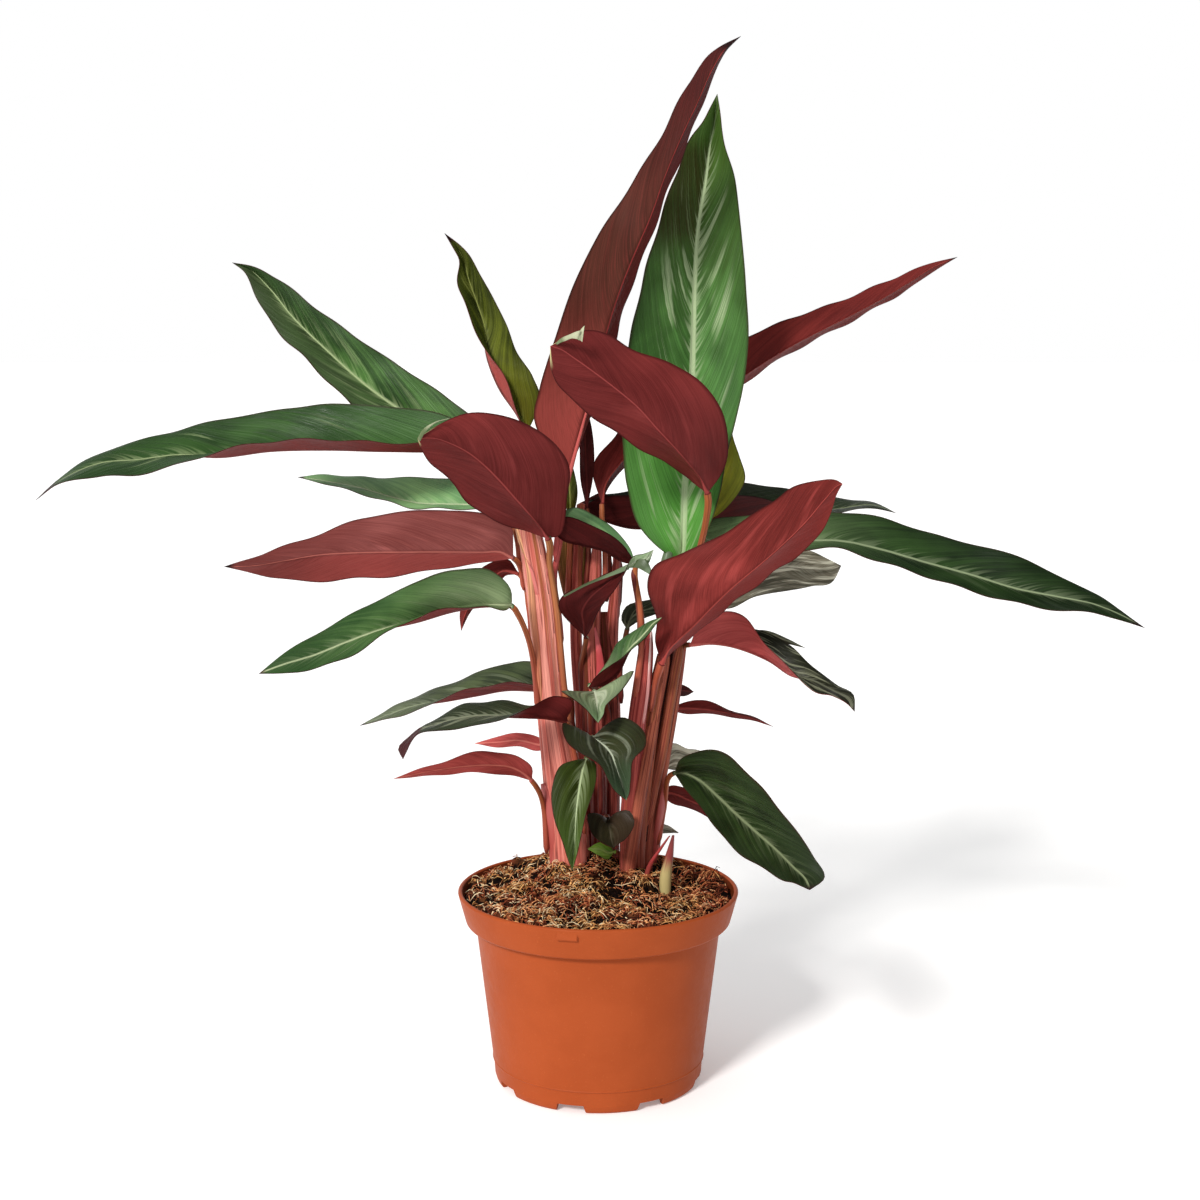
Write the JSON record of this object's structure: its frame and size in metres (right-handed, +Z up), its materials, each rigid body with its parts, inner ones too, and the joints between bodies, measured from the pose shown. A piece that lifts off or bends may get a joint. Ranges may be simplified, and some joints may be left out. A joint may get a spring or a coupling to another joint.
{
  "type": "potted foliage plant",
  "caption": "Stromanthe with long pointed leaves, green above and maroon beneath, on reddish shoots in coir soil in a round tapered nursery pot with a banded rim.",
  "frame": {"origin": "on the pot's axis, in the plane of the foot it stands on", "axes": "+Z up along the pot's axis; +X to the viewer's right; the viewer looks along +Y"},
  "size_m": [0.5814, 0.2651, 0.5482],
  "materials": {
    "terracotta_plastic": "smooth satin moulded plastic",
    "coir": "loose brown coir fibre",
    "shoot_pink": "smooth, faintly glossy living sheath",
    "shoot_red": "smooth, faintly glossy living sheath",
    "leaf_green": "living leaf with a soft waxy sheen",
    "leaf_olive": "living leaf with a soft waxy sheen",
    "leaf_maroon": "living leaf with a soft waxy sheen",
    "leaf_grey_green": "living leaf with a soft waxy sheen",
    "leaf_dark_maroon": "living leaf with a soft waxy sheen",
    "leaf_dark_green": "living leaf with a soft waxy sheen"
  },
  "bodies": {
    "root": {"pot": "terracotta_plastic", "soil": "coir", "shoot_left": "shoot_pink", "stem_mid_left": "shoot_red", "stem_mid": "shoot_red", "stem_mid_right": "shoot_red", "stem_right_front": "shoot_pink", "stem_right_mid": "shoot_red", "stem_right_back": "shoot_red", "bud_blade": "shoot_pink", "bud_spear": "shoot_pink", "leaf_left_long": "leaf_green", "leaf_left_high": "leaf_green", "leaf_olive_narrow": "leaf_olive", "leaf_spoon_left": "leaf_maroon", "leaf_left_mid": "leaf_green", "leaf_left_red": "leaf_maroon", "leaf_left_red_small": "leaf_maroon", "leaf_left_green": "leaf_green", "leaf_left_behind": "leaf_olive", "leaf_left_twisted": "leaf_grey_green", "leaf_left_pink": "leaf_maroon", "leaf_left_low": "leaf_maroon", "leaf_crown_red": "leaf_maroon", "leaf_crown_green": "leaf_green", "leaf_spoon_right": "leaf_maroon", "leaf_mid_folded": "leaf_dark_maroon", "leaf_olive_behind": "leaf_olive", "leaf_olive_sliver": "leaf_olive", "leaf_erect_narrow": "leaf_dark_maroon", "leaf_front_hanging": "leaf_green", "leaf_front_heart": "leaf_dark_green", "leaf_front_pale": "leaf_grey_green", "leaf_front_folded": "leaf_green", "leaf_front_red": "leaf_dark_maroon", "leaf_front_low": "leaf_dark_green", "leaf_front_bright": "leaf_green", "leaf_right_high": "leaf_maroon", "leaf_right_tucked": "leaf_dark_maroon", "leaf_mid_red": "leaf_dark_maroon", "leaf_right_front": "leaf_maroon", "leaf_right_long": "leaf_dark_green", "leaf_right_grey": "leaf_grey_green", "leaf_right_twisted": "leaf_grey_green", "leaf_right_sliver": "leaf_grey_green", "leaf_mid_grey": "leaf_dark_green", "leaf_right_thin": "leaf_maroon", "leaf_right_curl": "leaf_dark_maroon", "leaf_right_low": "leaf_dark_green", "leaf_right_low_red": "leaf_maroon", "leaf_right_low_grey": "leaf_grey_green", "leaf_right_small": "leaf_grey_green"}
  },
  "joints": []
}
